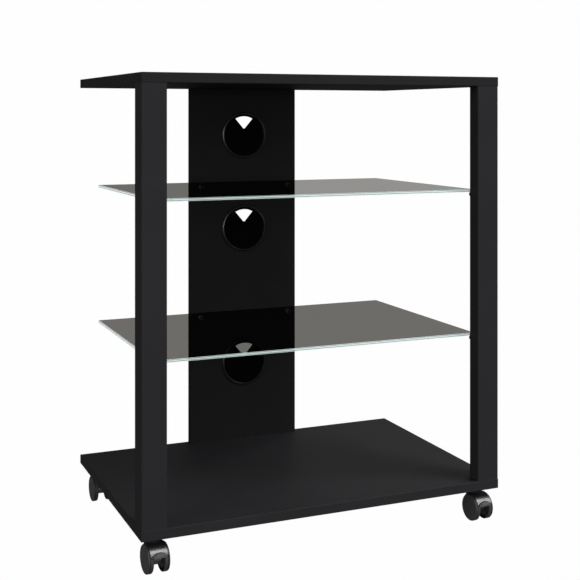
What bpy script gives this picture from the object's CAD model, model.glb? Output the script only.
"""Looks of the rolling media cabinet: materials, light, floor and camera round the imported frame."""

import math

import bpy
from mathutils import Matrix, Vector

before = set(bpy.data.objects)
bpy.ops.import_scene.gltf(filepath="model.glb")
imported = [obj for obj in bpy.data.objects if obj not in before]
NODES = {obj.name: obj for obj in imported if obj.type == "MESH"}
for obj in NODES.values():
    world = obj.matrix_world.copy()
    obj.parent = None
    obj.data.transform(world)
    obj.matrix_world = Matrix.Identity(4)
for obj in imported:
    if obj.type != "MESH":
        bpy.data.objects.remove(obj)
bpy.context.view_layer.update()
SCENE = bpy.context.scene

# ---- Driving values, with lengths in metres ----

POST_NODES = ("left_post", "right_post")
GLASS_NODES = ("lower_glass_shelf", "upper_glass_shelf")
CORNERS = ("front_left", "front_right", "rear_left", "rear_right")
BAYS = ("bottom", "middle", "top")

CAMERA_PLACE = (-0.7289, -1.7496, 0.6649)
CAMERA_TURN = 23.023          # degrees from straight ahead towards the right
CAMERA_LENS = 69.54           # in millimetres, as the width of the sensor
CAMERA_SENSOR = 36.0
CAMERA_SHIFT = -0.3036        # in picture widths
CAMERA_REACH = 100.0

SATIN_TOP = 0.0405            # a caster's hood is satin up to here, and matt above

FACE_UP = 0.9                 # a pane's faces are where the normal's upright part is more
EDGE_LINES = ((0.28, 0.42), (0.76, 0.90))   # dark lines along its edge, over its thickness
LINE_FADE = 0.02              # soft start and end of such a line

FLOOR_SIZE = 30.0
FLOOR_GREY = 0.12             # how much light the floor gives back to the cabinet
WHITE = 0.99                  # the floor and the background as the camera sees them
WORLD_FILL = 0.1
MIRRORED = 0.10               # background and floor in reflections

# Name, place, size and watts of each lamp, which all face the middle of the cabinet
CABINET_MIDDLE = (0.0, 0.0, 0.4)
LAMPS = (
    ("key", (8.9, -8.5, 5.2), (7.0, 8.0), 440.0),
    ("low", (-1.8, -12.4, 0.75), (6.0, 1.3), 330.0),
    ("overhead", (4.5, -4.3, 9.2), (5.0, 4.0), 470.0),
    ("fill", (-10.2, -4.2, 3.2), (5.6, 6.0), 290.0),
    ("rim", (7.1, 10.9, 1.6), (5.2, 1.6), 26.0),
    ("back", (10.4, 6.6, 2.4), (3.0, 3.4), 260.0),
)


# ---- Node helpers ----


class Nodes:
    """The node tree of a material or world, with short calls to add and join its nodes."""

    def __init__(self, owner):
        owner.use_nodes = True
        self.tree = owner.node_tree
        self.tree.nodes.clear()

    def add(self, kind, **values):
        """A node with values on its inputs, where a tuple is a colour and _ stands for a space."""
        node = self.tree.nodes.new(kind)
        for key, value in values.items():
            socket = node.inputs[key.replace("_", " ")]
            socket.default_value = (*value, 1) if isinstance(value, tuple) else value
        return node

    def link(self, source, out, target, into):
        self.tree.links.new(source.outputs[out], target.inputs[into])

    def mix(self, share, out, first, second):
        """Both shaders, the second one in the given share."""
        mix = self.add("ShaderNodeMixShader")
        self.link(share, out, mix, 0)
        self.link(first, 0, mix, 1)
        self.link(second, 0, mix, 2)
        return mix


class Material(Nodes):
    """A material with one Principled shader, and short calls for the nodes that feed it."""

    def __init__(self, name, **values):
        self.material = bpy.data.materials.new(name)
        super().__init__(self.material)
        self.output = self.add("ShaderNodeOutputMaterial")
        self.shader = self.add("ShaderNodeBsdfPrincipled", **values)
        self.link(self.shader, "BSDF", self.output, "Surface")

    def noise(self, scale, detail=3.0):
        """Noise over the object's own coordinates, where scale is in cells a metre."""
        place = self.add("ShaderNodeTexCoord")
        noise = self.add("ShaderNodeTexNoise", Scale=scale, Detail=detail)
        self.link(place, "Object", noise, "Vector")
        return noise

    def axes(self, kind, out):
        """X, Y and Z of a vector that the kind of node gives."""
        source = self.add(kind)
        axes = self.add("ShaderNodeSeparateXYZ")
        self.link(source, out, axes, "Vector")
        return axes

    def ramp(self, source, out, first, last, low=0.0, high=1.0):
        """The first colour up to low, the last one from high, and a blend between."""
        ramp = self.add("ShaderNodeValToRGB")
        ramp.color_ramp.elements[0].position = low
        ramp.color_ramp.elements[0].color = (*first, 1)
        ramp.color_ramp.elements[1].position = high
        ramp.color_ramp.elements[1].color = (*last, 1)
        self.link(source, out, ramp, "Fac")
        return ramp

    def spread(self, source, out, low, high, first, last):
        """The source's values from low to high, as values from first to last."""
        spread = self.add("ShaderNodeMapRange", From_Min=low, From_Max=high,
                          To_Min=first, To_Max=last)
        self.link(source, out, spread, "Value")
        return spread

    def calculate(self, operation, source, out, value=0.0):
        """The operation on the source and a fixed value."""
        node = self.add("ShaderNodeMath")
        node.operation = operation
        node.inputs[1].default_value = value
        self.link(source, out, node, 0)
        return node

    def colour_between(self, source, dark, light):
        ramp = self.ramp(source, "Fac", dark, light, low=0.35, high=0.65)
        self.link(ramp, "Color", self.shader, "Base Color")

    def roughness_between(self, source, low, high):
        spread = self.spread(source, "Fac", low=0.0, high=1.0, first=low, last=high)
        self.link(spread, "Result", self.shader, "Roughness")

    def bump(self, source, strength, distance):
        bump = self.add("ShaderNodeBump", Strength=strength, Distance=distance)
        self.link(source, "Fac", bump, "Height")
        self.link(bump, "Normal", self.shader, "Normal")


def grey(value, red=1.0, blue=1.0):
    """A linear colour near grey."""
    return (value * red, value, value * blue)


def paint(material, *names):
    for name in names:
        slots = NODES[name].data.materials
        slots.clear()
        slots.append(material)


# ---- Materials ----


def laminate(name, tone, specular, red=1.0, blue=1.05):
    """Matt black laminate with a fine pearl."""
    m = Material(name, IOR=1.5, Specular_IOR_Level=specular)
    pearl = m.noise(scale=1800.0, detail=2.0)
    m.colour_between(m.noise(scale=9.0), dark=grey(tone * 0.95, red, blue),
                     light=grey(tone * 1.05, red, blue))
    m.roughness_between(pearl, low=0.52, high=0.62)
    m.bump(pearl, strength=0.12, distance=0.0001)
    return m.material


def pane_face(m, facing):
    """Clear from above and a grey film at a low angle, with a reflection that grows."""
    film = m.ramp(facing, "Facing", first=(0.84, 0.90, 0.885), last=(0.170, 0.160, 0.149),
                  low=0.45, high=0.75)
    clear = m.add("ShaderNodeBsdfTransparent")
    m.link(film, "Color", clear, "Color")
    shine = m.add("ShaderNodeBsdfGlossy", Color=(1, 1, 1), Roughness=0.02)
    shining = m.spread(facing, "Facing", low=0.4, high=1.0, first=0.03, last=0.15)
    return m.mix(shining, "Result", clear, shine)


def pane_edge(m, facing):
    """The pale shader, clearer at a low angle, under dark lines along the edge."""
    through = m.add("ShaderNodeBsdfTransparent", Color=(0.95, 1.0, 0.99))
    sheer = m.spread(facing, "Facing", low=0.1, high=0.5, first=0.2, last=0.88)
    pale = m.mix(sheer, "Result", m.shader, through)
    height = m.axes("ShaderNodeTexCoord", "Generated")
    lines = m.ramp(height, "Z", first=(0, 0, 0), last=(0, 0, 0))
    for start, end in EDGE_LINES:
        for place, share in ((start, 0), (start + LINE_FADE, 1), (end, 1), (end + LINE_FADE, 0)):
            lines.color_ramp.elements.new(place).color = (share, share, share, 1)
    line = m.add("ShaderNodeBsdfDiffuse", Color=(0.06, 0.20, 0.19))
    return m.mix(lines, "Color", pale, line)


def clear_glass():
    """Panes with pale edges, whose faces are the ones that look up or down."""
    m = Material("clear_glass", Base_Color=(0.92, 1.0, 0.99), Roughness=0.25, IOR=1.5,
                 Emission_Color=(0.85, 1.0, 0.98), Emission_Strength=0.2)
    facing = m.add("ShaderNodeLayerWeight", Blend=0.5)
    normal = m.axes("ShaderNodeNewGeometry", "True Normal")
    upright = m.calculate("ABSOLUTE", normal, "Z")
    flat = m.calculate("GREATER_THAN", upright, "Value", FACE_UP)
    outside = m.mix(flat, "Value", pane_edge(m, facing), pane_face(m, facing))
    inside = m.add("ShaderNodeBsdfTransparent", Color=(0.96, 0.98, 0.975))
    side = m.add("ShaderNodeNewGeometry")
    m.link(m.mix(side, "Backfacing", outside, inside), "Shader", m.output, "Surface")
    return m.material


def plain_plastic(name, tone, rough, specular=0.4, red=1.0, blue=1.0):
    """Moulded plastic with a fine grain."""
    m = Material(name, IOR=1.5, Specular_IOR_Level=specular)
    grain = m.noise(scale=2600.0, detail=1.0)
    m.colour_between(m.noise(scale=40.0), dark=grey(tone * 0.92, red, blue),
                     light=grey(tone * 1.08, red, blue))
    m.roughness_between(grain, low=rough - 0.04, high=rough + 0.04)
    m.bump(grain, strength=0.08, distance=0.00008)
    return m.material


def caster_hood():
    """Matt plastic with a satin skin that ends below the neck over the hood."""
    m = Material("caster_hood", IOR=1.5, Specular_IOR_Level=0.1, Coat_IOR=2.6,
                 Coat_Roughness=0.42)
    m.colour_between(m.noise(scale=60.0), dark=grey(0.022, blue=1.02), light=grey(0.026, blue=1.02))
    m.roughness_between(m.noise(scale=600.0, detail=2.0), low=0.46, high=0.54)
    place = m.axes("ShaderNodeNewGeometry", "Position")
    satin = m.calculate("LESS_THAN", place, "Z", SATIN_TOP)
    m.link(satin, "Value", m.shader, "Coat Weight")
    return m.material


def metal(name, colour, rough):
    """Bare metal whose tone and polish vary a little."""
    m = Material(name, Metallic=1.0)
    grain = m.noise(scale=900.0)
    m.colour_between(m.noise(scale=120.0), dark=tuple(c * 0.92 for c in colour), light=colour)
    m.roughness_between(grain, low=rough - 0.06, high=rough + 0.06)
    return m.material


def beech():
    """Plain beech, for the dowels."""
    m = Material("beech", IOR=1.5, Specular_IOR_Level=0.3)
    m.colour_between(m.noise(scale=300.0, detail=4.0), dark=(0.50, 0.33, 0.19),
                     light=(0.62, 0.44, 0.27))
    m.roughness_between(m.noise(scale=900.0), low=0.55, high=0.7)
    return m.material


def paint_boards():
    black = {"specular": 0.1, "red": 1.05, "blue": 1.10}
    paint(laminate("post_laminate", tone=0.0275, **black), *POST_NODES)
    paint(laminate("top_laminate", tone=0.0210, **black), "top_board")
    paint(laminate("base_laminate", tone=0.0276, **black), "base_board")
    paint(laminate("column_laminate", tone=0.0125, specular=0.05), "back_column")
    paint(clear_glass(), *GLASS_NODES)


def paint_grommets():
    paint(plain_plastic("grommet_liner_plastic", tone=0.0015, rough=0.3, specular=0.5),
          *[f"{bay}_grommet_liner" for bay in BAYS])
    paint(plain_plastic("grommet_cap_plastic", tone=0.0009, rough=0.5, specular=0.02),
          *[f"{bay}_grommet_cap" for bay in BAYS])


def paint_fittings(zinc):
    paint(plain_plastic("pin_plastic", tone=0.02, rough=0.35),
          "lower_shelf_pins", "upper_shelf_pins")
    paint(plain_plastic("sleeve_plastic", tone=0.55, rough=0.3),
          "lower_pin_sleeves", "upper_pin_sleeves")
    paint(beech(), "wood_dowels")
    paint(zinc, "carcass_screws", "cam_bolts", "caster_screws")
    paint(metal("zinc_alloy", colour=(0.55, 0.55, 0.56), rough=0.42), "cam_discs")


def paint_casters(zinc):
    hood = caster_hood()
    tread = plain_plastic("caster_wheel_plastic", tone=0.062, rough=0.42, red=1.05, blue=1.04)
    pedal = plain_plastic("brake_pedal_plastic", tone=0.115, rough=0.36, specular=0.9,
                          red=1.02, blue=1.03)
    for corner in CORNERS:
        paint(zinc, f"{corner}_plate", f"{corner}_kingpin", f"{corner}_axle")
        paint(hood, f"{corner}_hood")
        paint(tread, f"{corner}_outer_wheel", f"{corner}_inner_wheel")
        if corner.startswith("front"):
            paint(pedal, f"{corner}_brake_pedal")


# ---- World, floor, lamps and camera ----


def backdrop(nodes, kind, unseen):
    """The unseen shader, but grey in reflections, and white to the camera and behind glass."""
    path = nodes.add("ShaderNodeLightPath")
    mirrored = nodes.add(kind, Color=(1, 1, 1), Strength=MIRRORED)
    white = nodes.add(kind, Color=(1, 1, 1), Strength=WHITE)
    seen = nodes.add("ShaderNodeMath")
    seen.operation = "MAXIMUM"
    nodes.link(path, "Is Camera Ray", seen, 0)
    nodes.link(path, "Is Transmission Ray", seen, 1)
    unseen_or_mirrored = nodes.mix(path, "Is Glossy Ray", unseen, mirrored)
    return nodes.mix(seen, "Value", unseen_or_mirrored, white)


def make_world():
    world = bpy.data.worlds.new("studio")
    nodes = Nodes(world)
    kind = "ShaderNodeBackground"
    fill = nodes.add(kind, Color=(1, 1, 1), Strength=WORLD_FILL)
    output = nodes.add("ShaderNodeOutputWorld")
    nodes.link(backdrop(nodes, kind, fill), "Shader", output, "Surface")
    SCENE.world = world


def make_floor():
    """A floor that shows as the white of the background and gives little light back."""
    material = bpy.data.materials.new("floor_white")
    nodes = Nodes(material)
    matt = nodes.add("ShaderNodeBsdfDiffuse", Color=grey(FLOOR_GREY))
    output = nodes.add("ShaderNodeOutputMaterial")
    nodes.link(backdrop(nodes, "ShaderNodeEmission", matt), "Shader", output, "Surface")
    bpy.ops.mesh.primitive_plane_add(size=FLOOR_SIZE)
    floor = bpy.context.object
    floor.name = "floor"
    floor.data.materials.append(material)


def make_lamp(name, place, size, power):
    data = bpy.data.lights.new(name, "AREA")
    data.shape = "RECTANGLE"
    data.size, data.size_y = size
    data.energy = power
    lamp = bpy.data.objects.new(name, data)
    lamp.location = place
    aim = Vector(CABINET_MIDDLE) - Vector(place)
    lamp.rotation_euler = aim.to_track_quat("-Z", "Y").to_euler()
    SCENE.collection.objects.link(lamp)


def make_camera():
    data = bpy.data.cameras.new("camera")
    data.sensor_width = CAMERA_SENSOR
    data.lens = CAMERA_LENS
    data.shift_y = CAMERA_SHIFT
    data.clip_end = CAMERA_REACH
    camera = bpy.data.objects.new("camera", data)
    camera.location = CAMERA_PLACE
    camera.rotation_euler = (math.radians(90), 0, math.radians(-CAMERA_TURN))
    SCENE.collection.objects.link(camera)
    SCENE.camera = camera


make_camera()
zinc_steel = metal("zinc_steel", colour=(0.62, 0.62, 0.60), rough=0.32)
paint_boards()
paint_grommets()
paint_fittings(zinc_steel)
paint_casters(zinc_steel)
make_world()
make_floor()
for lamp_values in LAMPS:
    make_lamp(*lamp_values)
SCENE.view_settings.view_transform = "Standard"
